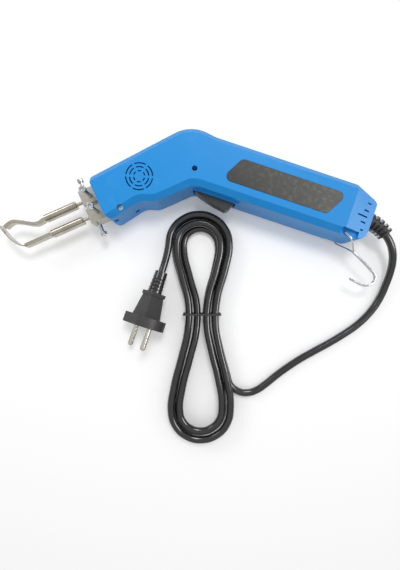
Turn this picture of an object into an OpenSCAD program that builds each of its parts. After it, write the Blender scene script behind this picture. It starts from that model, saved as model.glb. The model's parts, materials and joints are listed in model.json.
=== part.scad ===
// Electric hot knife: a cranked two-shell case with a low-voltage transformer in its head,
// a hot cutting strip clamped in two terminal blocks, and a mains cord in a tied hank.
// The knife lies on its right side: +X to the rear, +Y to the back of the grip, +Z up.
// The origin is on the table under the elbow screw. Millimetres and degrees.

/* [Case] */
// Thickness of the case from side to side
case_t = 42; // [40:1:48]
// Width of the bevel along the long edges
bevel = 4.5; // [4:0.5:7]
// Wall of the two half shells
wall = 2.6; // [2:0.1:3]
// Slope of the handle below the X axis
handle_tilt = 18.5; // [12:0.5:24]
// Length of the handle from the elbow screw to its rear face
handle_l = 148; // [144:1:160]
// Height of the handle above the elbow screw
handle_up = 30.3; // [28:0.1:34]
// Depth of the handle below the elbow screw
handle_down = 11.3; // [10.5:0.1:13]
// Slope of the head below the X axis
head_tilt = 24; // [18:0.5:30]
// Length of the head from the elbow screw to the nose face
head_l = 80.4; // [79:0.1:90]
// Height of the nose above the elbow screw's line
nose_up = 28.6; // [28:0.1:32]
// Depth of the nose below the elbow screw's line
nose_down = 9.3; // [8.5:0.1:12]
// Rise of the head's top edge between nose and elbow screw
head_rise = 5.2; // [4:0.1:8]
// Depth of the head's belly below the elbow screw's line
head_down = 10.2; // [9.5:0.1:12]
// Length of the sloped tail facet
tail_l = 20; // [14:1:26]
// Drop of the sloped tail facet
tail_drop = 5.5; // [3:0.5:7]

/* [Transformer and blade] */
// Thickness of the lamination stack along the head
stack_l = 29; // [22:1:30]
// Width of the core across the head
core_w = 32; // [30:1:33]
// Height of the core between the two shells
core_h = 28; // [26:1:29]
// Width of a terminal block
block_w = 13; // [12:0.5:14]
// Height of a terminal block
block_h = 15; // [12:0.5:18]
// Reach of the terminal blocks out of the nose
block_reach = 14.6; // [12:0.1:18]
// Space between the two terminal blocks
block_gap = 3.2; // [2:0.1:5]
// Diameter of a blade pin
pin_d = 3; // [2.5:0.1:4]
// Diameter of a clamp screw
clamp_d = 3; // [2.5:0.1:3.5]
// Length of a sleeve
sleeve_l = 28.3; // [22:0.1:34]
// Width of a sleeve
sleeve_w = 6; // [5:0.1:7]
// Depth of a sleeve from side to side of the knife
sleeve_h = 10; // [9:0.5:13]
// Depth of the blade arms
arm_h = 7; // [5:0.5:8]
// Thickness of the blade arms
arm_t = 3.2; // [2.4:0.1:3.6]
// Width of the cutting strip
strip_h = 8; // [6:0.5:10]
// Thickness of the cutting strip
strip_t = 0.9; // [0.6:0.1:1.4]

/* [Trigger and hook] */
// Width of the trigger
trigger_w = 12; // [9:0.5:14]
// Travel of the trigger
trigger_swing = 10; // [6:0.5:11]
// Diameter of the trigger pin
trigger_pin_d = 3; // [2.4:0.1:3.6]
// Diameter of the hook wire
hook_d = 1.6; // [1.2:0.1:2]

/* [Cord] */
// Diameter of the cord
cord_d = 6.4; // [5.6:0.1:6.6]
// Sideways step from loop to loop of the hank
hank_pitch = 7.6; // [7.6:0.1:8.2]
// Half width of the hank's top lobe
hank_top_w = 25; // [24:0.5:28]
// Half width of the hank's bottom lobe
hank_bottom_w = 28; // [26:0.5:30]

/* [Plug] */
// Diameter of a plug pin
plug_pin_d = 4.8; // [4:0.1:5]
// Length of a plug pin
plug_pin_l = 19; // [17:0.5:20]
// Spacing of the plug pins
plug_pin_gap = 19; // [18:0.5:20]
// Diameter of the plug flange
flange_d = 36; // [32:0.5:38]

/* [Hidden] */
$fn = 48;

// Shared clearances: running is radial, seat is between a piece and what it lies on
running = 0.05;
seat = 0.2;
over = 1;

// The case outline runs clockwise from the top of the nose
half_t = case_t / 2;
nose_wall = 3;
dome_reach = 12;
dome_r = 28;
dome_end = 8;
rear_up = 21.3;
belly_end = 39;
belly_step = 11;
step_r = 14;
nose_r = 5;
chin_up = 4.5;
inner_slope = sqrt(2) - 1;
case_size = 2 * handle_l;

// Points of the handle and of the head in the part's own frame
function on_handle(u, v) = [u * cos(handle_tilt) + v * sin(handle_tilt),
    v * cos(handle_tilt) - u * sin(handle_tilt)];
function on_head(s, v) = [-s * cos(head_tilt) - v * sin(head_tilt),
    v * cos(head_tilt) - s * sin(head_tilt)];
function unit(a) = a / norm(a);
function cross2(a, b) = a[0] * b[1] - a[1] * b[0];
// Crossing of the line through p along a with the line through q along b
function crossing(p, a, q, b) = p + a * cross2(q - p, b) / cross2(a, b);

elbow_corner = crossing(on_handle(0, -handle_down), on_handle(1, 0),
    on_head(0, -head_down), on_head(1, 0));
corners = [on_head(head_l, nose_up),
    on_head(-dome_reach, nose_up + head_rise * (1 + dome_reach / head_l)),
    on_handle(dome_end, handle_up), on_handle(handle_l - tail_l, handle_up),
    on_handle(handle_l, rear_up), on_handle(handle_l, -handle_down), elbow_corner,
    on_head(belly_end, -head_down), on_head(belly_end + belly_step, -chin_up),
    on_head(head_l, -nose_down)];
// Radius, steps and turn of each corner, where -1 is an inner corner
radii = [3, dome_r, 15, 4, 3, 9, 12, step_r, step_r, nose_r];
steps = [3, 8, 3, 3, 3, 5, 5, 4, 4, 4];
turns = [1, 1, -1, 1, 1, 1, -1, 1, -1, 1];
edges = len(corners);
// The long edges are bevelled, the rear face and the nose are plain
bevelled = [1, 1, 1, 1, 0, 1, 1, 1, 1, 0];

// A polygon's corners after each edge has moved inwards by its own distance
function moved(p, i, d) = let (n = len(p), a = p[i], b = p[(i + 1) % n], e = unit(b - a))
    [a + d * [e[1], -e[0]], e];
function inset(p, d) = [for (i = [0:len(p) - 1]) let (h = (i + len(p) - 1) % len(p),
    a = moved(p, h, d[h]), b = moved(p, i, d[i])) crossing(a[0], a[1], b[0], b[1])];
// An arc of a given radius in one corner, as points
function arc(p, i, r, n) = let (m = len(p), c = p[i], a = unit(p[(i + m - 1) % m] - c),
    b = unit(p[(i + 1) % m] - c), half = acos(a * b) / 2, o = c + unit(a + b) * r / sin(half),
    s = c + a * r / tan(half) - o, e = c + b * r / tan(half) - o,
    from = atan2(s[1], s[0]), sweep = atan2(cross2(s, e), s * e))
    [for (k = [0:n]) o + r * [cos(from + sweep * k / n), sin(from + sweep * k / n)]];
function rounded(p, r, n) = [for (i = [0:len(p) - 1], q = arc(p, i, r[i], n[i])) q];
least_r = 0.6;
function case_ring(d) = rounded(inset(corners, d), [for (i = [0:edges - 1])
    max(radii[i] - turns[i] * max(d[i], d[(i + edges - 1) % edges]), least_r)], steps);

// A solid between rings of equal count, each ring a clockwise list and a height
module loft(rings, heights) {
    n = len(rings[0]);
    m = len(rings);
    points = [for (j = [0:m - 1], p = rings[j]) [p[0], p[1], heights[j]]];
    sides = [for (j = [0:m - 2], i = [0:n - 1])
        [j * n + i, j * n + (i + 1) % n, (j + 1) * n + (i + 1) % n, (j + 1) * n + i]];
    floor_cap = [for (i = [0:n - 1]) n - 1 - i];
    top_cap = [for (i = [0:n - 1]) (m - 1) * n + i];
    polyhedron(points, concat([floor_cap], sides, [top_cap]));
}

// Sides of a tube, swept along points with one radius for each point
function along(p, i) = unit(p[min(i + 1, len(p) - 1)] - p[max(i - 1, 0)]);
// A side direction carried along the path without twist
function carried(p, i, a) = i == len(p) ? []
    : let (t = along(p, i), b = unit(a - (a * t) * t)) concat([b], carried(p, i + 1, b));
module tube(p, r, sides, start) {
    m = len(p);
    side = carried(p, 0, start);
    points = [for (i = [0:m - 1]) let (a = side[i], b = cross(a, along(p, i)))
        for (k = [0:sides - 1]) p[i] + r[i] * (a * cos(360 * k / sides) + b * sin(360 * k / sides))];
    walls = [for (i = [0:m - 2], k = [0:sides - 1]) let (a = i * sides + k,
        b = i * sides + (k + 1) % sides) each [[a, b, a + sides], [b, b + sides, a + sides]]];
    first = [for (k = [1:sides - 2]) [0, k + 1, k]];
    last = [for (k = [1:sides - 2]) (m - 1) * sides * [1, 1, 1] + [0, k, k + 1]];
    polyhedron(points, concat(walls, first, last));
}
module even_tube(p, d, sides, start = [0, 0, 1]) tube(p, [for (q = p) d / 2], sides, start);

// A smooth curve through points, with a number of steps for each span
function curve_at(p, i, f) = let (a = p[max(i - 1, 0)], b = p[i], c = p[i + 1],
    d = p[min(i + 2, len(p) - 1)]) b + f * (c - a) / 2 + f * f * (a - 2.5 * b + 2 * c - d / 2)
    + f * f * f * (1.5 * b - 1.5 * c + d / 2 - a / 2);
function curve(p, n) = concat([for (i = [0:len(p) - 2], k = [0:n - 1]) curve_at(p, i, k / n)],
    [p[len(p) - 1]]);

// Placing: local x runs along the handle to the rear, or along the head to the nose
module at_handle() rotate([0, 0, -handle_tilt]) children();
module at_head() rotate([0, 0, head_tilt]) mirror([1, 0, 0]) children();
module box(low, high) translate(low) cube(high - low);

// Case screws
screw_d = 2.6;
screw_head_d = 4;
screw_head_t = 2.4;
screw_bite = 12;
cross_w = 0.6;
cross_l = 2.6;
cross_depth = 1;
boss_r = 3.2;
// Nameplate, a leaning parallelogram sunk into the left face
plate_t = 0.8;
plate_sink = 0.6;
plate_r = 4.6;
plate_low = -1;
plate_high = 19;
plate_from = 22.5;
plate_back = 37.8;
plate_to = handle_l - plate_back;
plate_lean = 11.2;
plate_corners = [[plate_from, plate_low], [plate_from + plate_lean, plate_high],
    [plate_to + plate_lean, plate_high], [plate_to, plate_low]];
module plate_outline(grow) polygon(rounded(inset(plate_corners, [-grow, -grow, -grow, -grow]),
    [plate_r, plate_r, plate_r, plate_r], [5, 5, 5, 5]));

// One screw in the nose, one in the elbow and two under the nameplate
nose_screw_in = 13.8;
nose_screw_v = -3.7;
elbow_sink = 12;
plate_screw_v = 3;
plate_screw_in = [23.5, 10.2];
plate_screw_sink = 10;
nose_screw_sink = 6;
screws = [[on_head(head_l - nose_screw_in, nose_screw_v), half_t - nose_screw_sink],
    [[0, 0], half_t - elbow_sink],
    [on_handle(plate_from + plate_screw_in[0], plate_screw_v), half_t - plate_screw_sink],
    [on_handle(plate_to - plate_screw_in[1], plate_screw_v), half_t - plate_screw_sink]];

// Grille of the head: rings of arc slots
grille_s = 42.6;
grille_v = 12;
grille_rings = [4.4, 7.6, 10.6];
slot_w = 1;
spoke_w = 1.8;
grille_turn = 28;
// Vents of the tail: height and length of each slot
vent_end = 5;
vent_w = 1.2;
vents = [[18.6, 3.3], [12.4, 4.4], [7.6, 8.7], [2.8, 4.5], [-3.4, 2.6]];

// Slits in the wall below the nose: place along the head and height from the parting plane
belly_slits = [[56.9, -5.5], [head_l - 4.9, 4.2]];
slit_l = 3.4;
slit_w = 5.5;

// Trigger, in handle coordinates
pivot_u = 6.5;
pivot_v = -4.5;
eye_r = 3.6;
trigger_reach = 32.5;
trigger_top = -6;
trigger_gap = 0.5;
slot_from = 2.4;
slot_to = pivot_u + trigger_reach + 2 * trigger_gap;
// Raised rim round the trigger's slot
rim_w = 2.2;
rim_out = 1.6;
trigger_edge = [[3.6, trigger_top], [4.2, -13], [9.6, -15.5], [22, -18.8], [31, -20.4], [33.2, -20.6],
    [35.2, -19.2], [40, -13], [40, trigger_top]];
// Switch above the trigger
switch_u = [10.5, 28.5];
switch_v = [0.6, 11];
switch_t = 8;
plunger_u = 22;
plunger_d = 3.6;
plunger_rise = 4;
plunger_bore = plunger_rise + (plunger_u - pivot_u) * sin(trigger_swing) + over;
plunger_gap = 0.4;
// Return spring between the trigger and a shelf of the right shell
spring_u = 33.5;
spring_d = 6;
spring_wire = 0.8;
spring_turns = 6;
shelf_v = 6.6;
shelf_t = 2;

// Hook pivots in a pad behind a notch in the lower edge
hook_back = 18;
hook_u = handle_l - hook_back;
hook_v = -8.5;
notch_fore = 4;
notch_aft = 10.5;
notch_from = hook_u - notch_fore;
notch_to = hook_u + notch_aft;
notch_in = 6;
notch_drop = 6.2;
notch_floor = half_t - notch_drop;
hook_bite = 4.5;
hook_rise = 1.5;
hook_z = notch_floor + hook_rise;
pad_t = 8;

// Head: transformer and terminals share one centre line
head_v = 11.5;
stack_from = 13;
stack_to = stack_from + stack_l;
leg = 4.5;
mid_leg = 10;
yoke = 4.5;
core_low = half_t - core_h / 2;
core_high = half_t + core_h / 2;
bobbin_t = 1;
winding_t = 1.8;
bobbin_gap = 0.2;
bar_t = 2.4;
bar_h = 12;
bridge_gap = 0.8;
bar_v = core_w / 2 - leg - seat - bar_t;
block_in = 9.4;
block_back = head_l - block_in;
winding_back = stack_from - bobbin_gap - bobbin_t - winding_t;
bridge_s = winding_back - bridge_gap - bar_t;
insulator_t = 4;
insulator_s = head_l - nose_wall - seat - insulator_t;
insulator_w = 2 * block_w + block_gap;
insulator_bar = block_w - 3;
window_gap = 0.5;
window_top = 1;
rib_in = 2;
rib_t = 4;
pad_w = 16;
block_front = head_l + block_reach;
block_v = (block_gap + block_w) / 2;
pin_v = 7.1;
pin_depth = 14;
pin_show = 6.8;
pin_bite = 7;

// Clamp screws: socket cap heads, a little slack from the blade pins
clamp_head_d = 5.5;
clamp_head_t = 3;
socket_w = 2.6;
socket_depth = 1.6;
top_out = 6;
side_out = 10.2;
top_s = head_l + top_out;
side_s = head_l + side_out;
top_l = 20;
side_l = 11;
slack = 3.4;

// Blade, in head coordinates
sleeve_from = block_front + pin_show;
sleeve_to = sleeve_from + sleeve_l;
arm_root = 8;
upper_bend = [[9, -1], [21, 6], [27, 8.6], [34.2, 6.9]];
lower_end = 24.4;
strip_ctrl = [[24.6, -0.2], [31, 2.2], [35.6, 12.4], [37.3, 24]];
strip_steps = 12;
braze = 0.15;

// Cord: points of the free run, chosen by hand, from the clamp to the hank
cord_v = 10.8;
// Its first points lie on the handle's line and pass through the boot
cord_out = [[-30.3, 0], [-18.7, 0], [-8.2, 0], [2.35, 0], [8.9, -0.8], [15.3, -3], [20.8, -6.2]];
cord_end_u = handle_l + cord_out[0][0];
cord_lead = [for (p = cord_out) let (q = on_handle(handle_l + p[0], cord_v + p[1]))
    [q[0], q[1], half_t]];
cord_points = concat(cord_lead, [[165.5, -55, 20.5], [169, -62.5, 18.5], [171.3, -71, 15],
    [171.6, -80.5, 11], [169.8, -91, 7.5], [165.5, -104, 4.8], [158, -116, 3.6], [146, -128, 3.3],
    [133, -137, 3.3], [120.5, -144.5, 3.3], [108, -151.3, 3.3], [95.3, -158.4, 3.3], [83.5, -166, 3.3],
    [72.3, -174.2, 3.3], [63.5, -181.3, 3.3], [55, -187, 3.3], [46, -189.3, 3.6], [38, -187.5, 4],
    [31.5, -182, 4.3]]);
boot_first = 2;
boot_last = 6;
bore_gap = 0.25;

// Hank: loops of one tube, two layers, drawn in at the tie
hank_x = 4;
waist_share = 1.75;
hank_waist_w = waist_share * hank_pitch;
waist_y = -118;
top_y = -57;
bottom_y = -202;
turn_from = -0.075;
turn_to = 3.38;
turn_mid = 1.5;
climb = 0.24;
layer_gap = 0.6;
layer_step = cord_d + layer_gap;
tie_t = 0.8;
tie_w = 1.8;
tie_gap = 0.3;
hank_z = tie_t + tie_gap + cord_d / 2;
rings_per_loop = 24;
function smooth(f) = let (g = min(max(f, 0), 1)) g * g * (3 - 2 * g);
function hank_in(t) = hank_pitch * (t < turn_mid ? t : 2 * turn_mid - t);
function hank_half(y) = y > waist_y
    ? hank_waist_w + (hank_top_w - hank_waist_w) * smooth((y - waist_y) / (top_y - waist_y))
    : hank_waist_w + (hank_bottom_w - hank_waist_w) * smooth((waist_y - y) / (waist_y - bottom_y));
// A loop goes up the right run, round the top fold, down the left run and round the bottom fold
function hank_point(t) = let (q = t + 1.125 - floor(t + 1.125), f = 4 * q - floor(4 * q), d = hank_in(t),
    z = hank_z + layer_step * smooth((t - turn_mid + climb / 2) / climb),
    up = bottom_y + (top_y - bottom_y) * f, down = top_y + (bottom_y - top_y) * f)
    q < 0.25 ? [hank_x + hank_half(up) - d, up, z]
    : q < 0.5 ? [hank_x + (hank_top_w - d) * cos(180 * f), top_y + (hank_top_w - d) * sin(180 * f), z]
    : q < 0.75 ? [hank_x - hank_half(down) + d, down, z]
    : [hank_x - (hank_bottom_w - d) * cos(180 * f), bottom_y - (hank_bottom_w - d) * sin(180 * f), z];
hank_rings = round(rings_per_loop * (turn_to - turn_from));
hank_turns = [for (i = [0:hank_rings]) hank_point(turn_from + (turn_to - turn_from) * i / hank_rings)];
// Both ends run straight for one diameter
hank_start = hank_turns[0] - cord_d * unit(hank_turns[1] - hank_turns[0]);
hank_stop = hank_turns[hank_rings] + cord_d * unit(hank_turns[hank_rings] - hank_turns[hank_rings - 1]);
hank_path = concat([hank_start], hank_turns, [hank_stop]);
// Least space between strands that aren't neighbours along the cord
far_rings = 5;
function near(p, a, b) = let (e = b - a, f = min(max((p - a) * e / (e * e), 0), 1)) norm(p - a - f * e);
hank_least = min([for (i = [0:len(hank_path) - 1], j = [0:len(hank_path) - 2])
    if (abs(i - j) > far_rings) near(hank_path[i], hank_path[j], hank_path[j + 1]) - cord_d]);
echo(hank_least_gap = hank_least);
cord_path = curve(concat(cord_points, [hank_start]), 2);

// Plug: its axis leans up from the boot's end to the flange
plug_end = [-29.5, -81, 12.3];
plug_turn = -108;
plug_lean = 8;
plug_roll = 137;
plug_boot_l = 19;
plug_boot_d = [11, 12.8];
plug_neck_w = 12.8;
plug_body_w = 17.6;
plug_body_l = 22;
flange_t = 8.6;
plug_l = plug_boot_l + plug_body_l + flange_t;
module at_plug() translate(plug_end) rotate([0, 0, plug_turn]) rotate([0, 90 - plug_lean, 0])
    rotate([0, 0, plug_roll]) children();
plug_axis = [cos(plug_turn) * cos(plug_lean), sin(plug_turn) * cos(plug_lean), sin(plug_lean)];
tail_path = [hank_stop, plug_end - cord_d * plug_axis, plug_end];

// Half of the case above its parting plane, which lies at z = 0 here
outer_ring = case_ring([for (b = bevelled) 0]);
outer_top = case_ring((bevel + over) * bevelled);
function walls(b) = [for (i = [0:edges - 1])
    i == edges - 1 ? nose_wall : wall + b * bevelled[i]];
// A slab that trims everything above a height
module above(z) translate([-case_size, -case_size, z]) cube(2 * case_size);
module trigger_rim() at_handle() box([slot_from - rim_w, -handle_down - rim_out, -2 * over],
    [slot_to + rim_w, -handle_down + wall / 2, trigger_w / 2 + trigger_gap + rim_w]);
module half_outside() difference() {
    union() {
        loft([outer_ring, outer_ring, outer_top], [-over, half_t - bevel, half_t + over]);
        trigger_rim();
    }
    above(half_t);
    translate([-case_size, -case_size, -2 * case_size]) cube(2 * case_size);
}
module tail_cut(depth) at_handle() translate([handle_l - tail_l, 0, half_t - depth])
    rotate([0, atan(tail_drop / tail_l), 0]) translate([0, -case_t, 0]) cube([case_t, 3 * case_t, case_t]);
module half_inside() {
    low = case_ring(walls(0));
    high = case_ring(walls(bevel + over - wall * (1 - inner_slope)));
    difference() {
        loft([low, low, high], [-over, half_t - bevel - inner_slope * wall, half_t - wall + over]);
        above(half_t - wall);
        tail_cut(wall);
    }
}
module grille() at_head() translate([grille_s, grille_v, half_t - 2 * wall]) difference() {
    for (r = grille_rings) difference() {
        cylinder(h = 3 * wall, r = r + slot_w / 2);
        translate([0, 0, -over]) cylinder(h = 3 * wall + 2 * over, r = r - slot_w / 2);
    }
    for (k = [0:2]) rotate([0, 0, grille_turn + 60 * k]) translate([-case_t / 2, -spoke_w / 2, -over])
        cube([case_t, spoke_w, 3 * wall + 2 * over]);
}
module tail_vents() at_handle() for (v = vents)
    box([handle_l - vent_end - v[1], v[0] - vent_w / 2, half_t - tail_drop - 2 * wall],
        [handle_l - vent_end, v[0] + vent_w / 2, half_t + over]);
module trigger_slot() at_handle() box([slot_from, -2 * handle_down, -over],
    [slot_to, trigger_top + trigger_gap, trigger_w / 2 + trigger_gap]);
module nose_window() at_head() box([head_l - nose_wall - over, head_v - insulator_w / 2 - window_gap, -over],
    [head_l + over, head_v + insulator_w / 2 + window_gap, block_h / 2 + window_top]);
boot_neck_d = 12.4;
boot_flange_d = 16;
boot_flange_t = 2.4;
boot_neck_out = 1.6;
boot_neck_l = wall + seat + over + boot_neck_out;
module boot_hole() at_handle() translate([handle_l - wall - over, cord_v, 0])
    rotate([0, 90, 0]) cylinder(h = wall + 2 * over, d = boot_neck_d + 4 * running);
module hook_pad() at_handle() box([notch_from - wall, -2 * handle_down, notch_floor - pad_t],
    [notch_to + wall, -notch_in + wall, case_t]);
module hook_notch() at_handle() {
    box([notch_from, -2 * handle_down, notch_floor], [notch_to, -notch_in, half_t + over]);
    translate([hook_u, hook_v, notch_floor - hook_bite - seat])
        cylinder(h = case_t, d = hook_d + 2 * running);
}
module pin_boss() at_handle() translate([pivot_u, pivot_v, trigger_w / 2 + trigger_gap])
    cylinder(h = case_t, r = eye_r);
pin_grip = 5;
pin_half = trigger_w / 2 + trigger_gap + pin_grip;
module pin_socket() at_handle() translate([pivot_u, pivot_v, 0])
    cylinder(h = pin_half + seat, d = trigger_pin_d + running);
module bosses() for (s = screws) translate([s[0][0], s[0][1], -2 * over]) cylinder(h = case_t, r = boss_r);
// Ribs that reach from the wall to the transformer, the insulator, the switch and the spring
module head_ribs() at_head() {
    for (s = [stack_from + rib_in, stack_to - rib_in - rib_t])
        box([s, head_v - pad_w / 2, core_h / 2 + seat], [s + rib_t, head_v + pad_w / 2, case_t]);
    box([insulator_s, head_v - pad_w / 2, core_h / 2 + seat],
        [insulator_s + insulator_t, head_v + pad_w / 2, case_t]);
}
module switch_seat() at_handle() box([switch_u[0] + rib_in, switch_v[0] + rib_in, switch_t / 2 + seat],
    [switch_u[1] - rib_in, switch_v[1] - rib_in, case_t]);
module spring_shelf() at_handle() box([spring_u - spring_d / 2, shelf_v, -2 * over],
    [spring_u + spring_d / 2, shelf_v + shelf_t, case_t]);
// What a child draws also stays solid inside the case
module half_case() difference() {
    half_outside();
    difference() {
        half_inside();
        hook_pad();
        pin_boss();
        bosses();
        head_ribs();
        switch_seat();
        spring_shelf();
        children();
    }
    tail_cut(0);
    grille();
    tail_vents();
    trigger_slot();
    nose_window();
    boot_hole();
    hook_notch();
    pin_socket();
}

module slits() at_head() for (s = belly_slits)
    box([s[0] - slit_l / 2, -2 * nose_down, half_t + s[1] - slit_w / 2],
        [s[0] + slit_l / 2, 0, half_t + s[1] + slit_w / 2]);

blue = [0.12, 0.46, 0.78];
black = [0.13, 0.13, 0.13];
steel = [0.75, 0.75, 0.74];
copper = [0.72, 0.42, 0.25];

module left_shell() color(blue) difference() {
    translate([0, 0, half_t]) half_case();
    for (s = screws) translate([s[0][0], s[0][1], half_t]) {
        translate([0, 0, -over]) cylinder(h = case_t, d = screw_d + 4 * running);
        translate([0, 0, s[1]]) cylinder(h = case_t, d = screw_head_d + 2 * seat);
    }
    translate([0, 0, case_t - plate_sink]) at_handle()
        linear_extrude(plate_t) plate_outline(seat);
    slits();
}
saddle_back = 30;
saddle_l = 8;
saddle_u = [handle_l - saddle_back, handle_l - saddle_back + saddle_l];
saddle_w = 24;
clamp_t = 4;
clamp_pitch = 16;
clamp_screw_l = 10;
module cord_groove(gap) at_handle() translate([saddle_u[0] - over, cord_v, half_t])
    rotate([0, 90, 0]) cylinder(h = saddle_u[1] - saddle_u[0] + 2 * over, d = cord_d + 2 * gap);
module clamp_places() at_handle() for (k = [-1, 1])
    translate([(saddle_u[0] + saddle_u[1]) / 2, cord_v + k * clamp_pitch / 2, half_t]) children();
module right_shell() color(blue) difference() {
    translate([0, 0, half_t]) mirror([0, 0, 1]) half_case() at_handle()
        box([saddle_u[0], cord_v - saddle_w / 2, seat], [saddle_u[1], cord_v + saddle_w / 2, case_t]);
    for (s = screws) translate([s[0][0], s[0][1], half_t - screw_bite - over])
        cylinder(h = screw_bite + 2 * over, d = screw_d + running);
    clamp_places() translate([0, 0, -clamp_screw_l])
        cylinder(h = clamp_screw_l + over, d = screw_d + running);
    cord_groove(bore_gap);
    slits();
}
module nameplate() color([0.27, 0.27, 0.27]) translate([0, 0, case_t - plate_sink]) at_handle()
    linear_extrude(plate_t) plate_outline(0);
// A screw with its head's seat at z = 0 and a cross slot
module cross_screw(length) difference() {
    union() {
        translate([0, 0, -length]) cylinder(h = length, d = screw_d);
        cylinder(h = screw_head_t, d = screw_head_d);
    }
    for (k = [0, 90]) rotate([0, 0, k])
        translate([-cross_l / 2, -cross_w / 2, screw_head_t - cross_depth])
            cube([cross_l, cross_w, 2 * cross_depth]);
}
module case_screws() color(steel) for (s = screws) translate([s[0][0], s[0][1], half_t + s[1]])
    cross_screw(s[1] + screw_bite);

module trigger() color(black) at_handle() translate([0, 0, half_t - trigger_w / 2]) difference() {
    linear_extrude(trigger_w) union() {
        intersection() {
            polygon(trigger_edge);
            translate([pivot_u, pivot_v]) circle(r = trigger_reach, $fn = 96);
        }
        translate([pivot_u, pivot_v]) circle(r = eye_r);
    }
    translate([pivot_u, pivot_v, -over]) cylinder(h = trigger_w + 2 * over, d = trigger_pin_d + 2 * running);
}
module trigger_pin() color(steel) at_handle() translate([pivot_u, pivot_v, half_t - pin_half])
    cylinder(h = 2 * pin_half, d = trigger_pin_d);
spring_rings = 8;
spring_r = (spring_d - spring_wire) / 2;
spring_low = trigger_top + spring_wire / 2 + seat;
spring_rise = shelf_v - spring_wire / 2 - seat - spring_low;
spring_n = spring_turns * spring_rings;
module trigger_spring() color(steel) even_tube([for (i = [0:spring_n]) let (a = 360 * i / spring_rings,
    p = on_handle(spring_u + spring_r * cos(a), spring_low + spring_rise * i / spring_n))
    [p[0], p[1], half_t + spring_r * sin(a)]], spring_wire, 6);
module switch_body() color(black) at_handle() difference() {
    box([switch_u[0], switch_v[0], half_t - switch_t / 2],
        [switch_u[1], switch_v[1], half_t + switch_t / 2]);
    translate([plunger_u, switch_v[0] - over, half_t]) rotate([-90, 0, 0])
        cylinder(h = plunger_bore + over, d = plunger_d + 2 * running);
}
module switch_plunger() color("firebrick") at_handle()
    translate([plunger_u, trigger_top + plunger_gap + plunger_d / 2, half_t]) rotate([-90, 0, 0]) {
        sphere(d = plunger_d);
        cylinder(h = switch_v[0] + plunger_rise - trigger_top - plunger_gap - plunger_d / 2, d = plunger_d);
    }

// The hook is one wire bent double: half of it runs from an end in the pad to the fold at the tip
hook_turn = 28.5;
hook_gap = 0.3;
hook_half = hook_d / 2 + hook_gap;
hook_side = [[0, 0, notch_floor - hook_bite], [0, 0, notch_floor], [0.1, 0, hook_z - 1],
    [0.8, 0, hook_z - 0.2], [2, 0, hook_z], [7, 0, hook_z], [9, 0, hook_z - 1], [10.4, 0, hook_z - 2.8],
    [18, 0, hook_half + 2.2], [19.6, 0, hook_half + 0.6], [22, 0, hook_half], [42.5, 0.5, hook_half],
    [46.2, 0.2, hook_half], [49, -1.6, hook_half], [50.6, -4.6, hook_half], [50.5, -8.2, hook_half],
    [48.7, -11.6, hook_half], [45.6, -13.8, hook_half], [42, -15.2, hook_half], [36, -17.25, hook_half],
    [35.25, -17.5, hook_half * 0.7]];
hook_fold = [34.93, -17.62, 0];
hook_wire = concat(hook_side, [hook_fold],
    [for (i = [1:len(hook_side)]) let (p = hook_side[len(hook_side) - i]) [p[0], p[1], -p[2]]]);
module hook() color(steel) at_handle() translate([hook_u, hook_v, half_t]) rotate([0, 0, -hook_turn])
    even_tube(hook_wire, hook_d, 8, [0, 1, 0]);

// Ribbed boot: it follows the cord's own curve out of the case
boot_fins = 5;
boot_d = [9.8, 8.6];
fin_d = [15.4, 13];
fin_t = 1.9;
fin_from = 0.24;
fin_to = 0.95;
boot_run = [for (i = [2 * boot_first + 1:2 * boot_last]) cord_path[i]];
boot_bore = [for (i = [2 * boot_first - 2:2 * boot_last + 1]) cord_path[i]];
boot_spans = len(boot_run) - 1;
function boot_at(f) = let (i = min(floor(f * boot_spans), boot_spans - 1))
    boot_run[i] + (f * boot_spans - i) * (boot_run[i + 1] - boot_run[i]);
function boot_way(f) = unit(boot_at(min(f + fin_from / 2, 1)) - boot_at(f - fin_from / 2));
function boot_size(d, f) = d[0] + (d[1] - d[0]) * f;
module cord_boot() color(black) difference() {
    union() {
        tube(boot_run, [for (i = [0:boot_spans]) boot_size(boot_d, i / boot_spans) / 2], 16, [0, 0, 1]);
        for (k = [0:boot_fins - 1])
            let (f = fin_from + (fin_to - fin_from) * k / (boot_fins - 1), t = boot_way(f))
            translate(boot_at(f)) rotate([0, acos(t[2]), atan2(t[1], t[0])]) translate([0, 0, -fin_t / 2])
                cylinder(h = fin_t, d = boot_size(fin_d, f));
        at_handle() translate([0, cord_v, half_t]) rotate([0, 90, 0]) {
            translate([0, 0, handle_l - wall - seat - boot_flange_t])
                cylinder(h = boot_flange_t, d = boot_flange_d);
            translate([0, 0, handle_l - wall - seat - over])
                cylinder(h = boot_neck_l, d = boot_neck_d);
        }
    }
    even_tube(boot_bore, cord_d + 2 * bore_gap, 12);
}
module cord_clamp() color(black) difference() {
    at_handle() box([saddle_u[0], cord_v - saddle_w / 2, half_t + seat],
        [saddle_u[1], cord_v + saddle_w / 2, half_t + cord_d / 2 + clamp_t]);
    cord_groove(bore_gap);
    clamp_places() cylinder(h = case_t, d = screw_d + 2 * running);
}
module cord_clamp_screws() color(steel) clamp_places() translate([0, 0, cord_d / 2 + clamp_t])
    cross_screw(cord_d / 2 + clamp_t + clamp_screw_l - seat);

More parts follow.
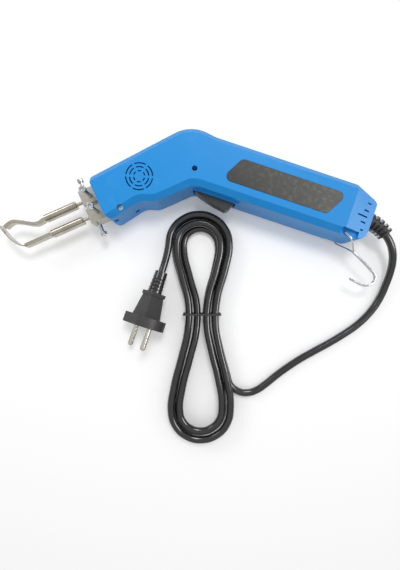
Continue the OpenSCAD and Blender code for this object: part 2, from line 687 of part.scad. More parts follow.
// Insulated leads inside the case, by hand: handle coordinates first, then the head's
lead_d = 2.2;
function lead(points) = [for (p = points) let (q = on_handle(p[0], p[1])) [q[0], q[1], p[2]]];
lead_run = 4;
function to_winding(v, z) = [for (s = [winding_back - lead_run, winding_back - seat])
    let (q = on_head(s, v)) [q[0], q[1], z]];
lead_gap = 0.3;
lead_z = half_t + 8.5;
live_points = lead([[cord_end_u - lead_gap, cord_v + 1.5, half_t], [cord_end_u - 9, 13, half_t],
    [cord_end_u - 28, 14, half_t], [60, 14, half_t], [switch_u[1] + 13.5, 13, half_t],
    [switch_u[1] + 5.5, 10.4, half_t], [switch_u[1] + lead_gap, 9.4, half_t]]);
neutral_points = lead([[cord_end_u - lead_gap, cord_v - 1.5, half_t], [cord_end_u - 7.7, 10, half_t + 1.5],
    [cord_end_u - 13.7, 13, half_t + 6], [cord_end_u - 27.7, 17, half_t + 8],
    [50, 18.5, lead_z], [20, 20, lead_z]]);
switch_points = lead([[switch_u[0] - 2 * lead_gap, 7, half_t - 2], [switch_u[0] - 4.5, 8.5, half_t - 4],
    [switch_u[0] - 9.5, 9.6, half_t - 8]]);
module live_lead() color("saddlebrown") even_tube(curve(live_points, 2), lead_d, 8);
module neutral_lead() color("steelblue") even_tube(curve(concat(neutral_points,
    to_winding(head_v + 5.5, half_t + 8)), 2), lead_d, 8);
module switch_lead() color("saddlebrown") even_tube(curve(concat(switch_points,
    to_winding(head_v - 2.5, half_t - 8.4)), 2), lead_d, 8);

// Laminated core: E stack below, I stack above, its legs across the two shells
module core_e_stack() color([0.35, 0.35, 0.37]) at_head() difference() {
    box([stack_from, head_v - core_w / 2, core_low], [stack_to, head_v + core_w / 2, core_high - yoke]);
    for (k = [0, 1]) translate([0, head_v, 0]) mirror([0, k, 0])
        box([stack_from - over, mid_leg / 2, core_low + yoke], [stack_to + over, core_w / 2 - leg, case_t]);
}
module core_i_stack() color([0.35, 0.35, 0.37]) at_head()
    box([stack_from, head_v - core_w / 2, core_high - yoke], [stack_to, head_v + core_w / 2, core_high]);
// A block round the core's middle leg, so much larger than it
module round_leg(grow, low, high) box([stack_from - grow, head_v - mid_leg / 2 - grow, low],
    [stack_to + grow, head_v + mid_leg / 2 + grow, high]);
bobbin_low = core_low + yoke + seat;
bobbin_high = core_high - yoke - seat;
module bobbin() color("wheat") at_head() difference() {
    union() {
        round_leg(bobbin_gap + bobbin_t, bobbin_low, bobbin_high);
        round_leg(bobbin_gap + bobbin_t + winding_t, bobbin_low, bobbin_low + bobbin_t);
        round_leg(bobbin_gap + bobbin_t + winding_t, bobbin_high - bobbin_t, bobbin_high);
    }
    round_leg(bobbin_gap, 0, case_t);
}
module primary_winding() color(copper) at_head() difference() {
    round_leg(bobbin_gap + bobbin_t + winding_t, bobbin_low + bobbin_t + running,
        bobbin_high - bobbin_t - running);
    round_leg(bobbin_gap + bobbin_t + running, 0, case_t);
}
// One turn of copper bar through both windows of the core
module secondary_loop() color(copper) at_head() {
    for (k = [0, 1]) translate([0, head_v, half_t - bar_h / 2]) mirror([0, k, 0])
        translate([bridge_s, bar_v, 0]) cube([block_back - bridge_s, bar_t, bar_h]);
    translate([bridge_s, head_v - bar_v - bar_t, half_t - bar_h / 2])
        cube([bar_t, 2 * (bar_v + bar_t), bar_h]);
}
module nose_insulator() color([0.25, 0.16, 0.1]) at_head() translate([0, head_v, half_t]) difference() {
    box([insulator_s, -insulator_w / 2, -core_h / 2],
        [insulator_s + insulator_t, insulator_w / 2, core_h / 2]);
    for (k = [-1, 1]) translate([0, k * block_v, 0])
        box([insulator_s - over, -insulator_bar / 2, -block_h / 2 - seat / 2],
            [head_l, insulator_bar / 2, block_h / 2 + seat / 2]);
}
module terminal_block(k) color([0.72, 0.69, 0.62]) at_head() translate([0, head_v, half_t])
    mirror([0, k, 0]) difference() {
        union() {
            box([head_l + seat, block_gap / 2, -block_h / 2],
                [block_front, block_gap / 2 + block_w, block_h / 2]);
            box([block_back, block_v - insulator_bar / 2 + seat / 2, -block_h / 2],
                [head_l + over, block_v + insulator_bar / 2 - seat / 2, block_h / 2]);
        }
        translate([block_front - pin_depth - over, pin_v, 0]) rotate([0, 90, 0])
            cylinder(h = pin_depth + 2 * over, d = pin_d + 2 * running);
        translate([top_s, pin_v, 0]) cylinder(h = block_h, d = clamp_d + 2 * running);
        translate([side_s, pin_v, 0]) rotate([-90, 0, 0]) cylinder(h = block_w, d = clamp_d + 2 * running);
    }
module upper_terminal_block() terminal_block(0);
module lower_terminal_block() terminal_block(1);
// A socket cap screw with its tip at z = 0
module cap_screw(length) color(steel) difference() {
    union() {
        cylinder(h = length + seat, d = clamp_d);
        translate([0, 0, length]) cylinder(h = clamp_head_t, d = clamp_head_d);
    }
    translate([0, 0, length + clamp_head_t - socket_depth])
        cylinder(h = 2 * socket_depth, d = socket_w, $fn = 6);
}
module top_screw(k) at_head() translate([top_s, head_v + k * pin_v, half_t + pin_d / 2 + slack])
    cap_screw(top_l);
module side_screw(k) at_head() translate([side_s, head_v + k * (pin_v + pin_d / 2 + slack), half_t])
    rotate([-90 * k, 0, 0]) cap_screw(side_l);
module upper_top_screw() top_screw(1);
module lower_top_screw() top_screw(-1);
module upper_side_screw() side_screw(1);
module lower_side_screw() side_screw(-1);

// A bar of constant width along points, as a polygon
function bar_side(p, w) = [for (i = [0:len(p) - 1]) let (t = along(p, i)) p[i] + w * [-t[1], t[0]]];
function bar(p, t) = let (b = bar_side(p, -t / 2))
    concat(bar_side(p, t / 2), [for (i = [1:len(b)]) b[len(b) - i]]);
// Points of the blade, from the sleeve's front and the pin's height
function on_blade(p, k) = [sleeve_to + p[0], head_v + k * pin_v + p[1]];
sleeve_half = (sleeve_h - sleeve_w) / 2;
module sleeve(k) color(steel) at_head() translate([0, head_v + k * pin_v, half_t]) difference() {
    union() {
        for (z = [-1, 1]) translate([sleeve_from, 0, z * sleeve_half]) rotate([0, 90, 0])
            cylinder(h = sleeve_l, d = sleeve_w);
        box([sleeve_from, -sleeve_w / 2, -sleeve_half], [sleeve_to, sleeve_w / 2, sleeve_half]);
    }
    translate([sleeve_from - over, 0, 0]) rotate([0, 90, 0])
        cylinder(h = pin_bite + seat + over, d = pin_d + 2 * running);
    box([sleeve_to - arm_root - seat, -arm_t / 2 - running, -arm_h / 2 - running],
        [sleeve_to + over, arm_t / 2 + running, arm_h / 2 + running]);
}
module blade_pin(k) color(steel) at_head() translate([block_front - pin_depth, head_v + k * pin_v, half_t])
    rotate([0, 90, 0]) cylinder(h = sleeve_from + pin_bite - block_front + pin_depth, d = pin_d);
module upper_blade_pin() blade_pin(1);
module lower_blade_pin() blade_pin(-1);
module upper_sleeve() sleeve(1);
module lower_sleeve() sleeve(-1);
bend_steps = 4;
upper_path = concat([[sleeve_to - arm_root, head_v + pin_v]],
    curve(concat([[sleeve_to, head_v + pin_v]], [for (p = upper_bend) on_blade(p, 1)]), bend_steps));
lower_path = [[sleeve_to - arm_root, head_v - pin_v], [sleeve_to + lower_end, head_v - pin_v]];
strip_path = [for (i = [0:strip_steps]) let (f = i / strip_steps, c = strip_ctrl) on_blade(
    (1 - f) ^ 3 * c[0] + 3 * (1 - f) ^ 2 * f * c[1] + 3 * (1 - f) * f ^ 2 * c[2] + f ^ 3 * c[3], -1)];
module blade_bar(path, t, h) at_head() translate([0, 0, half_t - h / 2])
    linear_extrude(h) polygon(bar(path, t));
module arm(path) color(steel) difference() {
    blade_bar(path, arm_t, arm_h);
    blade_bar(strip_path, strip_t + 2 * braze, strip_h + over);
}
module upper_arm() arm(upper_path);
module lower_arm() arm(lower_path);
module cutting_strip() color([0.62, 0.6, 0.57]) blade_bar(strip_path, strip_t, strip_h);

module cord_run() color(black) even_tube(cord_path, cord_d, 8);
module cord_hank() color(black) even_tube(hank_path, cord_d, 6);
module cord_tail() color(black) even_tube(curve(tail_path, 2), cord_d, 8);
// Places where the strands cross the tie's middle
waist_x = [for (i = [0:len(hank_path) - 2]) let (a = hank_path[i], b = hank_path[i + 1])
    if ((a[1] - waist_y) * (b[1] - waist_y) <= 0) a[0] + (b[0] - a[0]) * (waist_y - a[1]) / (b[1] - a[1])];
tie_right = max(waist_x) - hank_x + cord_d / 2 + tie_gap;
tie_left = hank_x - min(waist_x) + cord_d / 2 + tie_gap;
tie_high = hank_z + layer_step + cord_d / 2 + tie_gap;
module hank_tie() color(black) translate([hank_x, waist_y + tie_w / 2, 0]) rotate([90, 0, 0])
    linear_extrude(tie_w) difference() {
        translate([-tie_left - tie_t, 0]) square([tie_left + tie_right + 2 * tie_t, tie_high + tie_t]);
        translate([-tie_left, tie_t]) square([tie_left + tie_right, tie_high - tie_t]);
    }
// Plug boot: a tapered sleeve with rows of slots on four sides, behind a plain collar
plug_collar = 6.4;
plug_rows = 4;
plug_row_pitch = (plug_boot_l - plug_collar) / plug_rows;
plug_slot_l = 6.2;
plug_slot_w = 1.5;
plug_core_d = 8.2;
module plug_boot() color(black) at_plug() difference() {
    cylinder(h = plug_boot_l, d1 = plug_boot_d[0], d2 = plug_boot_d[1]);
    for (i = [0:plug_rows - 1], k = [0:3]) rotate([0, 0, 45 + 90 * k])
        translate([plug_core_d / 2, -plug_slot_l / 2, plug_collar + i * plug_row_pitch])
            cube([plug_boot_d[1], plug_slot_l, plug_slot_w]);
}
slab_t = 0.5;
// A ledge round the neck, and notches for the earth clips of a socket
plug_ledge_w = 14.8;
plug_ledge_t = 3.2;
clip_w = 20;
clip_in = 3;
module plug_slab(w, z) translate([-w / 2, -w / 2, z]) cube([w, w, slab_t]);
module plug_body() color(black) at_plug() translate([0, 0, plug_boot_l]) difference() {
    union() {
        hull() {
            plug_slab(plug_neck_w, plug_ledge_t / 2);
            plug_slab(plug_body_w, plug_body_l);
        }
        translate([-plug_ledge_w / 2, -plug_ledge_w / 2, 0])
            cube([plug_ledge_w, plug_ledge_w, plug_ledge_t]);
        translate([0, 0, plug_body_l]) cylinder(h = flange_t, d = flange_d);
    }
    for (k = [0, 180]) rotate([0, 0, k])
        translate([-clip_w / 2, flange_d / 2 - clip_in, plug_body_l - over])
            cube([clip_w, flange_d, flange_t + 2 * over]);
    for (k = [-1, 1]) translate([k * plug_pin_gap / 2, 0, plug_body_l + flange_t - shank_l - seat])
        cylinder(h = shank_l + seat + over, d = shank_d + 2 * running);
}
// A pin is held in the flange by a thinner shank, which shows as a short neck
shank_step = 0.8;
shank_d = plug_pin_d - shank_step;
shank_l = 7;
shank_neck = 0.3;
module plug_pins() color(steel) at_plug() for (k = [-1, 1]) translate([k * plug_pin_gap / 2, 0, plug_l]) {
    translate([0, 0, -shank_l]) cylinder(h = shank_l + plug_pin_d, d = shank_d);
    translate([0, 0, shank_neck]) cylinder(h = plug_pin_l - shank_neck - plug_pin_d / 2, d = plug_pin_d);
    translate([0, 0, plug_pin_l - plug_pin_d / 2]) sphere(d = plug_pin_d);
}

left_shell();
right_shell();
nameplate();
case_screws();
trigger();
trigger_pin();
trigger_spring();
switch_body();
switch_plunger();
hook();
cord_boot();
cord_clamp();
cord_clamp_screws();
live_lead();
neutral_lead();
switch_lead();
core_e_stack();
core_i_stack();
bobbin();
primary_winding();
secondary_loop();
nose_insulator();
upper_terminal_block();
lower_terminal_block();
upper_top_screw();
lower_top_screw();
upper_side_screw();
lower_side_screw();
upper_blade_pin();
lower_blade_pin();
upper_sleeve();
lower_sleeve();
upper_arm();
lower_arm();
cutting_strip();
cord_run();
cord_hank();
cord_tail();
hank_tie();
plug_boot();
plug_body();
plug_pins();
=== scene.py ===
import bpy
import json
from math import radians, sin, cos, pi, floor
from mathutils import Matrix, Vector


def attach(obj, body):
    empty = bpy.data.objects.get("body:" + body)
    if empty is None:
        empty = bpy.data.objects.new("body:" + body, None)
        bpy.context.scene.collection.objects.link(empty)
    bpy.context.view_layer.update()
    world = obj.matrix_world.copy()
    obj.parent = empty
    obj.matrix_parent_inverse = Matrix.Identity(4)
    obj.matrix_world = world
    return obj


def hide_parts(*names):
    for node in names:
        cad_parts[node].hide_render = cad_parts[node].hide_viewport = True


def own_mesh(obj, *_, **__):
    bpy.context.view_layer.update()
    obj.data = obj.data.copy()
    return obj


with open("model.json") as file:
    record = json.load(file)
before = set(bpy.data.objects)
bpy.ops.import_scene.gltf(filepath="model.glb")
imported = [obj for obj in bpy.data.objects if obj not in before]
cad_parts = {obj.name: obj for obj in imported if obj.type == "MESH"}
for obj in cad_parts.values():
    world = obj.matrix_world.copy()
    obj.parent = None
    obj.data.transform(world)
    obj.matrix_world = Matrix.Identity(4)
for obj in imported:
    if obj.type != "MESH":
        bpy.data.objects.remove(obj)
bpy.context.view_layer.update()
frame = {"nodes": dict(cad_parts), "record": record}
cadNode = frame["nodes"]
bodyOf = {n: b for b, names in frame["record"]["behaviour"]["bodies"].items() for n in names}
slotOf = {s["node"]: s["material_slot"] for s in frame["record"]["subparts"]}
bpy.ops.object.select_all(action="DESELECT")
scene = bpy.context.scene
scene.view_settings.view_transform = "Standard"
print("frame loaded,", len(cadNode), "nodes")

# camera straight above the table, as the photo was taken
viewpoint = {"place": (0.00418, -0.09215, 0.310), "lens": 21.47, "sensor": 36, "near": 0.01}
bpy.ops.object.camera_add(location=viewpoint["place"], rotation=(0, 0, 0))
camera = bpy.context.object
camera.data.lens = viewpoint["lens"]
camera.data.sensor_width = viewpoint["sensor"]
camera.data.clip_start = viewpoint["near"]
scene.camera = camera

# how far the handle and the head lean, and the height of the parting plane
caseLines = {"handleTilt": radians(18.5), "headTilt": radians(24), "middle": 0.021}


def onHandle(u, v, z):  # u along the handle from the elbow screw, v across it
    t = caseLines["handleTilt"]
    return Vector((u * cos(t) + v * sin(t), v * cos(t) - u * sin(t), z))


def onlySelect(obj):
    if bpy.context.object and bpy.context.object.mode != "OBJECT":
        bpy.ops.object.mode_set(mode="OBJECT")
    bpy.ops.object.select_all(action="DESELECT")
    obj.select_set(True)
    bpy.context.view_layer.objects.active = obj


# shader maths: a socket that takes part in sums
class Wire:
    def __init__(self, finish, socket):
        self.finish = finish
        self.socket = socket

    def math(self, how, other=None, flip=False):
        pair = (other, self) if flip else (self, other)
        return self.finish.add("ShaderNodeMath", {"operation": how},
                               {i: v for i, v in enumerate(pair) if v is not None})

    def __add__(self, other):
        return self.math("ADD", other)

    def __sub__(self, other):
        return self.math("SUBTRACT", other)

    def __rsub__(self, other):
        return self.math("SUBTRACT", other, True)

    def __mul__(self, other):
        return self.math("MULTIPLY", other)

    __radd__ = __add__

    def spread(self, low, high):  # low goes to 0 and high to 1, clamped
        return self.finish.add("ShaderNodeMapRange", {"clamp": True}, {0: self, 1: low, 2: high})


class Finish:
    def __init__(self, name):
        self.material = bpy.data.materials.new(name)
        self.material.use_nodes = True
        self.tree = self.material.node_tree
        self.shader = self.tree.nodes["Principled BSDF"]

    def add(self, kind, settings=None, values=None, out=0):
        node = self.tree.nodes.new(kind)
        for key, value in (settings or {}).items():
            if key == "stops":
                ramp = node.color_ramp.elements
                while len(ramp) < len(value):
                    ramp.new(0.5)
                for stop, (place, colour) in zip(ramp, value):
                    stop.position = place
                    stop.color = (*colour, 1)
            else:
                setattr(node, key, value)
        for key, value in (values or {}).items():
            self.feed(node.inputs[key], value)
        return Wire(self, node.outputs[out])

    def feed(self, socket, value):
        if isinstance(value, Wire):
            self.tree.links.new(value.socket, socket)
        elif hasattr(value, "__len__") and socket.type == "RGBA":
            socket.default_value = (*value[:3], 1)
        else:
            socket.default_value = value

    def place(self, turn=0.0, stretch=(1, 1, 1)):
        here = self.add("ShaderNodeTexCoord", out="Object")
        return self.add("ShaderNodeMapping", {"vector_type": "POINT"},
                        {"Vector": here, "Rotation": (0, 0, turn), "Scale": stretch})

    def noise(self, scale, detail=2.0, rough=0.5, where=None):
        where = where or self.add("ShaderNodeTexCoord", out="Object")
        return self.add("ShaderNodeTexNoise", None,
                        {"Vector": where, "Scale": scale, "Detail": detail, "Roughness": rough})

    def axis(self, where, name):
        return self.add("ShaderNodeSeparateXYZ", None, {0: where}, out=name)

    def blend(self, factor, first, second):
        return self.add("ShaderNodeMix", {"data_type": "RGBA"}, {0: factor, 6: first, 7: second}, out=2)

    def bump(self, height, strength, distance):
        return self.add("ShaderNodeBump", None, {"Height": height, "Strength": strength, "Distance": distance})

    def coat(self, **sockets):
        names = {"colour": "Base Color", "rough": "Roughness", "metal": "Metallic", "normal": "Normal",
                 "ior": "IOR", "gloss": "Coat Weight", "glossRough": "Coat Roughness"}
        for key, value in sockets.items():
            self.feed(self.shader.inputs[names[key]], value)
        return self.material


# moulded plastic: fine spark grain, slow drift of tone, rubbed patches
def mouldedPlastic(name, colour, worn, rough, grain, gloss):
    f = Finish(name)
    drift = f.noise(18, 3).spread(0.3, 0.7)
    rub = f.noise(70, 6, 0.65).spread(0.56, 0.74)
    tone = f.blend(drift * 0.35, colour, [c * 0.86 for c in colour])
    tone = f.blend(rub * 0.22, tone, worn)
    spark = f.noise(2600, 2)
    return f.coat(colour=tone, rough=rough + rub * 0.12 - drift * 0.05, ior=1.4, gloss=gloss,
                  glossRough=0.25, normal=f.bump(spark, grain, 0.00012))


# rubber and soft sheath: dull, with dust in slow patches
def softSheath(name, colour, dust, rough, grain=0.18, gloss=0.0):
    f = Finish(name)
    patch = f.noise(45, 4, 0.6).spread(0.48, 0.72)
    skin = f.noise(1500, 3)
    return f.coat(colour=f.blend(patch * 0.3, colour, dust), rough=rough + patch * 0.14, ior=1.42,
                  gloss=gloss, glossRough=0.16, normal=f.bump(skin, grain, 0.00015))


# metal with drawn or brushed streaks along a direction
def streakedMetal(name, colour, dull, rough, turn, streak):
    f = Finish(name)
    along = f.place(turn, (40, 2600, 2600))
    lines = f.noise(1, 2, 0.5, along)
    stain = f.noise(150, 4, 0.6).spread(0.45, 0.7)
    return f.coat(colour=f.blend(stain * 0.5, colour, dull), metal=1.0,
                  rough=rough + lines * 0.16 + stain * 0.1, normal=f.bump(lines, streak, 0.00008))


# plated fastener metal: bright with small dull specks
def platedMetal(name, colour, dull, rough):
    f = Finish(name)
    speck = f.noise(420, 5, 0.6).spread(0.52, 0.7)
    return f.coat(colour=f.blend(speck * 0.6, colour, dull), metal=1.0, rough=rough + speck * 0.2,
                  normal=f.bump(f.noise(1900, 2), 0.12, 0.00006))


# heat tint along the arms, with the strip beyond them ground bright
def tintedBlade(name, rootS, tipS, lowV, lean):
    f = Finish(name)
    where = f.place(-caseLines["headTilt"])
    far = f.axis(where, "X") * -1.0 - (f.axis(where, "Y") - lowV) * lean
    heat = (far + f.noise(160, 3) * 0.001).spread(rootS, tipS)
    tint = f.add("ShaderNodeValToRGB", {"stops": [(0.0, (0.48, 0.45, 0.4)), (0.5, (0.48, 0.45, 0.38)),
                                                  (0.95, (0.45, 0.4, 0.33)), (1.0, (0.5, 0.48, 0.44))]}, {0: heat})
    lines = f.noise(1, 2, 0.5, f.place(-caseLines["headTilt"], (60, 2200, 900)))
    return f.coat(colour=tint, metal=1.0, rough=0.18 + lines * 0.16, normal=f.bump(lines, 0.2, 0.0001))


# nameplate: plain charcoal print, rubbed and speckled towards the rear
def plateFinish(name):
    f = Finish(name)
    where = f.place(caseLines["handleTilt"])
    u = f.axis(where, "X")
    v = f.axis(where, "Y")
    fade = (u + f.noise(60, 4) * 0.03 + v * 0.5).spread(0.04, 0.14)
    scuff = f.noise(260, 8, 0.75).spread(0.5, 0.66)
    ink = f.blend(fade, (0.036, 0.036, 0.035), (0.1, 0.1, 0.092))
    ink = f.blend(scuff * fade * 0.8, ink, (0.2, 0.19, 0.17))
    return f.coat(colour=ink, rough=0.42 + scuff * fade * 0.2, ior=1.4,
                  normal=f.bump(f.noise(900, 3), 0.05, 0.00008))


# stacked laminations: thin dark lines along the stack
def laminated(name):
    f = Finish(name)
    where = f.place(-caseLines["headTilt"])
    sheet = f.add("ShaderNodeTexWave", {"wave_type": "BANDS", "bands_direction": "X"},
                  {"Vector": where, "Scale": 640, "Distortion": 0.4})
    rust = f.noise(200, 4).spread(0.5, 0.7)
    tone = f.blend(sheet, (0.09, 0.09, 0.095), (0.2, 0.2, 0.21))
    return f.coat(colour=f.blend(rust * 0.4, tone, (0.17, 0.1, 0.06)), metal=0.7, rough=0.5 - sheet * 0.1,
                  normal=f.bump(sheet, 0.3, 0.0001))


# wound wire: round strands side by side, with painted shade in the grooves between strands and a painted highlight
# on their crowns
def wound(name):
    f = Finish(name)
    strandShadeAndRelief = f.add("ShaderNodeTexWave", {"wave_type": "BANDS", "bands_direction": "Z"},
                   {"Vector": f.place(), "Scale": 330, "Distortion": 0.6})
    # the copper colour is painted shade where strands meet and a painted highlight on each strand's top; the bump
    # gives their real roundness
    return f.coat(colour=f.blend(strandShadeAndRelief, (0.22, 0.08, 0.03), (0.62, 0.27, 0.11)), metal=0.6,
                  rough=0.42 - strandShadeAndRelief * 0.12, normal=f.bump(strandShadeAndRelief, 0.5, 0.0002))


headTurn = -caseLines["headTilt"]
finishes = {
    "blue_case": mouldedPlastic("casePlastic", (0.008, 0.27, 0.71), (0.06, 0.38, 0.78), 0.42, 0.16, 0.0),
    "black_plastic": mouldedPlastic("blackPlastic", (0.047, 0.047, 0.046), (0.09, 0.09, 0.087), 0.42, 0.2, 0.0),
    "plate": plateFinish("plateInk"),
    "bright_steel": platedMetal("zincPlate", (0.6, 0.61, 0.62), (0.3, 0.3, 0.29), 0.16),
    "steel": streakedMetal("drawnSteel", (0.48, 0.44, 0.37), (0.27, 0.24, 0.2), 0.13, headTurn, 0.12),
    "plated_block": platedMetal("blockPlate", (0.5, 0.475, 0.425), (0.3, 0.28, 0.24), 0.34),
    "blade_steel": tintedBlade("bladeSteel", 0.130, 0.1576, 0.0044, 0.43),
    "core_iron": laminated("coreSheets"),
    "copper": wound("copperWire"),
    "insulation": mouldedPlastic("resinSheet", (0.13, 0.07, 0.035), (0.2, 0.13, 0.08), 0.5, 0.3, 0.0),
    "bobbin_plastic": mouldedPlastic("bobbinNylon", (0.58, 0.46, 0.27), (0.66, 0.57, 0.4), 0.45, 0.2, 0.0),
    "red_plastic": mouldedPlastic("plungerNylon", (0.42, 0.02, 0.015), (0.5, 0.1, 0.08), 0.35, 0.15, 0.1),
    "lead_brown": softSheath("brownLead", (0.1, 0.04, 0.018), (0.18, 0.12, 0.08), 0.45),
    "lead_blue": softSheath("blueLead", (0.02, 0.07, 0.25), (0.1, 0.14, 0.26), 0.45),
    "cord_rubber": softSheath("cordSheath", (0.013, 0.013, 0.013), (0.03, 0.029, 0.028), 0.2, 0.06, 0.7),
    "plug_pin_metal": platedMetal("pinNickel", (0.68, 0.65, 0.58), (0.46, 0.42, 0.36), 0.22),
}
for name, node in cadNode.items():
    for place in node.material_slots:
        place.material = finishes[slotOf[name]]
print("finishes on", len(cadNode), "nodes")


def dress(piece, slot, body, *nodes):
    piece.data.materials.clear()
    piece.data.materials.append(finishes[slot])
    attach(piece, body)
    if nodes:
        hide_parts(*nodes)
    return piece


# cord: one curve from the case, through the hank, to the plug
cordLine = {
    "diameter": 0.0064, "exit": (0.14378, -0.03672, 0.021),
    "run": [(0.152, -0.0403, 0.021), (0.1573, -0.0444, 0.021), (0.1615, -0.0492, 0.021), (0.1655, -0.055, 0.0205),
            (0.169, -0.0625, 0.0185), (0.1713, -0.071, 0.015), (0.1716, -0.0805, 0.011), (0.1698, -0.091, 0.0075),
            (0.1655, -0.104, 0.0048), (0.158, -0.116, 0.0036), (0.146, -0.128, 0.0033), (0.133, -0.137, 0.0033),
            (0.1205, -0.1445, 0.0033), (0.108, -0.1513, 0.0033), (0.0953, -0.1584, 0.0033), (0.0835, -0.166, 0.0033),
            (0.0723, -0.1742, 0.0033), (0.0635, -0.1813, 0.0033), (0.055, -0.187, 0.0033), (0.046, -0.1893, 0.0036),
            (0.038, -0.1875, 0.004), (0.0315, -0.182, 0.0043)],
    "middle": 0.004, "waistY": -0.118, "topY": -0.057, "bottomY": -0.202, "topHalf": 0.025, "bottomHalf": 0.028,
    "pitch": 0.0076, "waistStrands": 1.75, "phase": 1.125,
    "turnFrom": -0.075, "turnTo": 3.38, "turnMid": 1.5, "climb": 0.24,
    "lowZ": 0.0043, "layer": 0.007, "rings": 24,
    "plugEnd": (-0.0295, -0.081, 0.0123), "plugTurn": radians(-108), "plugLean": radians(8),
}


def easeStep(f):
    g = min(max(f, 0.0), 1.0)
    return g * g * (3 - 2 * g)


def hankHalf(y):
    c = cordLine
    waist = c["waistStrands"] * c["pitch"]
    if y > c["waistY"]:
        return waist + (c["topHalf"] - waist) * easeStep((y - c["waistY"]) / (c["topY"] - c["waistY"]))
    return waist + (c["bottomHalf"] - waist) * easeStep((c["waistY"] - y) / (c["waistY"] - c["bottomY"]))


def hankPoint(t):
    c = cordLine
    q = t + c["phase"] - floor(t + c["phase"])  # place in the loop: up, top fold, down, bottom fold
    f = 4 * q - floor(4 * q)
    inwards = c["pitch"] * (t if t < c["turnMid"] else 2 * c["turnMid"] - t)
    z = c["lowZ"] + c["layer"] * easeStep((t - c["turnMid"] + c["climb"] / 2) / c["climb"])
    up = c["bottomY"] + (c["topY"] - c["bottomY"]) * f
    down = c["topY"] + (c["bottomY"] - c["topY"]) * f
    if q < 0.25:
        return Vector((c["middle"] + hankHalf(up) - inwards, up, z))
    if q < 0.5:
        r = c["topHalf"] - inwards
        return Vector((c["middle"] + r * cos(pi * f), c["topY"] + r * sin(pi * f), z))
    if q < 0.75:
        return Vector((c["middle"] - hankHalf(down) + inwards, down, z))
    r = c["bottomHalf"] - inwards
    return Vector((c["middle"] - r * cos(pi * f), c["bottomY"] - r * sin(pi * f), z))


def cordPoints():
    c = cordLine
    count = round(c["rings"] * (c["turnTo"] - c["turnFrom"]))
    turns = [hankPoint(c["turnFrom"] + (c["turnTo"] - c["turnFrom"]) * i / count) for i in range(count + 1)]
    start = turns[0] - c["diameter"] * (turns[1] - turns[0]).normalized()
    stop = turns[-1] + c["diameter"] * (turns[-1] - turns[-2]).normalized()
    plugEnd = Vector(c["plugEnd"])
    lean = c["plugLean"]
    axis = Vector((cos(c["plugTurn"]) * cos(lean), sin(c["plugTurn"]) * cos(lean), sin(lean)))
    run = [Vector(p) for p in [c["exit"]] + c["run"]]
    return run + [start] + turns + [stop, plugEnd - c["diameter"] * axis, plugEnd]


def smoothTube(name, points, radius, around, along):
    line = bpy.data.curves.new(name + "_line", "CURVE")
    line.dimensions = "3D"
    line.bevel_depth = radius
    line.bevel_resolution = around
    line.resolution_u = along
    line.use_fill_caps = True
    spline = line.splines.new("BEZIER")
    spline.bezier_points.add(len(points) - 1)
    for bead, p in zip(spline.bezier_points, points):
        bead.co = p
        bead.handle_left_type = bead.handle_right_type = "AUTO"
    tube = bpy.data.objects.new(name, line)
    scene.collection.objects.link(tube)
    return tube


cord = smoothTube("mains_cord", cordPoints(), cordLine["diameter"] / 2, around=4, along=6)
dress(cord, "cord_rubber", "case", "cord_run", "cord_hank", "cord_tail")
bpy.context.view_layer.update()


# softened copies: the CAD solid with its sharp edges rounded
softening = {"merge": 0.000002, "flat": radians(0.6), "steps": 2, "sharp": 35, "smooth": radians(35), "weight": 100}


def softCopy(name, width, sharp):
    piece = bpy.data.objects.new(name + "_soft", cadNode[name].data.copy())
    scene.collection.objects.link(piece)
    onlySelect(piece)
    if piece.data.has_custom_normals:
        bpy.ops.mesh.customdata_custom_splitnormals_clear()
    bpy.ops.object.mode_set(mode="EDIT")
    bpy.ops.mesh.select_all(action="SELECT")
    bpy.ops.mesh.remove_doubles(threshold=softening["merge"])
    bpy.ops.mesh.dissolve_limited(angle_limit=softening["flat"])
    bpy.ops.object.mode_set(mode="OBJECT")
    if width:
        edge = piece.modifiers.new("roundEdge", "BEVEL")
        edge.width = width
        edge.segments = softening["steps"]
        edge.limit_method = "ANGLE"
        edge.angle_limit = radians(sharp)
        edge.use_clamp_overlap = True
        bpy.ops.object.modifier_apply(modifier=edge.name)
    bpy.ops.object.shade_smooth_by_angle(angle=softening["smooth"])
    even = piece.modifiers.new("evenFaces", "WEIGHTED_NORMAL")  # flat faces stay flat
    even.keep_sharp = True
    even.weight = softening["weight"]
    bpy.ops.object.modifier_apply(modifier=even.name)
    return dress(piece, slotOf[name], bodyOf[name], name)


softEdges = {
    "left_shell": 0.0003, "right_shell": 0.0003, "nameplate": 0.00015, "trigger": 0.0009,
    "upper_terminal_block": 0.0004, "lower_terminal_block": 0.0004, "upper_sleeve": 0.0003, "lower_sleeve": 0.0003,
    "upper_blade_pin": 0.0002, "lower_blade_pin": 0.0002, "upper_arm": 0.0003, "lower_arm": 0.0003,
    "cutting_strip": 0.0002, "upper_top_screw": 0.00022, "lower_top_screw": 0.00022, "upper_side_screw": 0.00022,
    "lower_side_screw": 0.00022, "case_screws": 0.0002, "plug_body": 0.0012, "plug_boot": 0.0004, "plug_pins": 0.0,
    "cord_boot": 0.00035, "hank_tie": 0.0003,
}
facets = {"left_shell": 12, "right_shell": 12}  # here shallower edges are rounded too, in degrees
soft = {name: softCopy(name, width, facets.get(name, softening["sharp"])) for name, width in softEdges.items()}
print("softened", len(soft), "pieces")

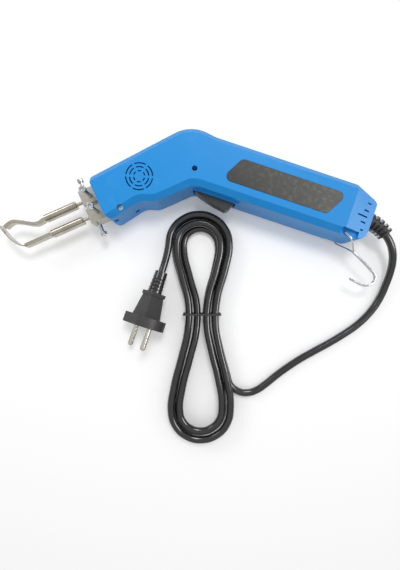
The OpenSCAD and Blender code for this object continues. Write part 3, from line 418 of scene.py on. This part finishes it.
# hook: one smooth wire bent double, its points in millimetres from the pivot
hookWire = {
    "radius": 0.0008 - 0.00002, "pivot": (0.130, -0.0085), "turn": radians(28.5), "unit": 1000,
    "side": [(0, 0, 10.3), (0, 0, 14.8), (0.1, 0, 15.3), (0.8, 0, 16.1), (2, 0, 16.3), (7, 0, 16.3), (9, 0, 15.3),
             (10.4, 0, 13.5), (18, 0, 3.3), (19.6, 0, 1.7), (22, 0, 1.1), (42.5, 0.5, 1.1), (46.2, 0.2, 1.1),
             (49, -1.6, 1.1), (50.6, -4.6, 1.1), (50.5, -8.2, 1.1), (48.7, -11.6, 1.1), (45.6, -13.8, 1.1),
             (42, -15.2, 1.1), (36, -17.25, 1.1), (35.25, -17.5, 0.77)],
    "fold": (34.93, -17.62, 0),
}


def hookPlace(p):
    t = -hookWire["turn"]
    x, y, z = (c / hookWire["unit"] for c in p)
    u = hookWire["pivot"][0] + x * cos(t) - y * sin(t)
    v = hookWire["pivot"][1] + x * sin(t) + y * cos(t)
    return onHandle(u, v, caseLines["middle"] + z)


half = hookWire["side"]
hookRoute = half + [hookWire["fold"]] + [(x, y, -z) for x, y, z in reversed(half)]
hookPiece = smoothTube("hook_wire", [hookPlace(p) for p in hookRoute], hookWire["radius"], around=3, along=5)
onlySelect(hookPiece)
bpy.ops.object.convert(target="MESH")
hookPiece = bpy.context.object
bpy.ops.object.shade_smooth()
dress(hookPiece, "bright_steel", "hook", "hook")
print("hook wire bent")

# return spring: given its own copy of its mesh
spring = {"shelf": (0.0335, 0.0066), "keep": 0.56}
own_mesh(cadNode["trigger_spring"], "trigger_squeeze", axis=tuple(onHandle(0, 1, 0)),
          anchor=tuple(onHandle(*spring["shelf"], caseLines["middle"])), keep=spring["keep"])

# floor: pale, a little brighter to the camera so that it reads as white paper
table = {"size": 6.0, "centre": (0, -0.1, -0.0003), "tone": (0.93, 0.93, 0.93), "rough": 0.9, "glow": 0.14}
bpy.ops.mesh.primitive_plane_add(size=table["size"], location=table["centre"])
ground = bpy.context.object
ground.name = "table_top"
bpy.ops.object.transform_apply(location=True, rotation=True, scale=True)
paper = Finish("tablePaper")
paper.coat(colour=table["tone"], rough=table["rough"])
rays = [paper.add("ShaderNodeLightPath", out="Is %s Ray" % r) for r in ("Camera", "Glossy", "Transmission")]
seen = rays[0].math("MAXIMUM", rays[1]).math("MAXIMUM", rays[2])
glow = paper.add("ShaderNodeEmission", None, {"Color": (1, 1, 1), "Strength": seen * table["glow"]})
both = paper.add("ShaderNodeAddShader", None, {0: Wire(paper, paper.shader.outputs[0]), 1: glow})
paper.tree.links.new(both.socket, paper.tree.nodes["Material Output"].inputs["Surface"])
ground.data.materials.append(paper.material)

# light: a lamp nearly overhead casts the shadow, two more are seen only as sheen on the case, cord and metal, and a
# weak one lights the blade from the left
lampAim = Vector((0.03, -0.05, 0.0))
lamps = {
    "key": {"place": (0.08, 0.2, 0.75), "size": 0.22, "power": 2.1, "glossy": False},
    "sheen": {"place": (0.2, 0.62, 0.66), "size": 0.4, "power": 4.5, "diffuse": False},
    "window": {"place": (0.6, -0.1, 0.5), "size": 0.36, "power": 3.0, "diffuse": False},
    "side": {"place": (-0.6, 0.4, 0.55), "size": 0.3, "power": 1.0},
}
for name, lamp in lamps.items():
    bpy.ops.object.light_add(type="AREA", location=lamp["place"])
    light = bpy.context.object
    light.name = name + "_lamp"
    light.data.shape = "DISK"
    light.data.size = lamp["size"]
    light.data.energy = lamp["power"]
    light.visible_glossy = lamp.get("glossy", True)
    light.visible_diffuse = lamp.get("diffuse", True)
    light.rotation_euler = (lampAim - Vector(lamp["place"])).to_track_quat("-Z", "Y").to_euler()

# the sky is dimmer low down, as in a room, so that round metal shows a dark side
room = {"low": 0.3, "high": 0.72, "from": 0.25, "to": 0.65}
sky = bpy.data.worlds.new("roomSky")
sky.use_nodes = True
nodes, links = sky.node_tree.nodes, sky.node_tree.links
aim = nodes.new("ShaderNodeTexCoord")
height = nodes.new("ShaderNodeSeparateXYZ")
level = nodes.new("ShaderNodeMapRange")
for place, key in zip(("From Min", "From Max", "To Min", "To Max"), ("from", "to", "low", "high")):
    level.inputs[place].default_value = room[key]
links.new(aim.outputs["Generated"], height.inputs[0])
links.new(height.outputs["Z"], level.inputs["Value"])
links.new(level.outputs[0], nodes["Background"].inputs["Strength"])
nodes["Background"].inputs["Color"].default_value = (1, 1, 1, 1)
scene.world = sky
print("light set")

bpy.ops.object.select_all(action="DESELECT")
bpy.context.view_layer.update()
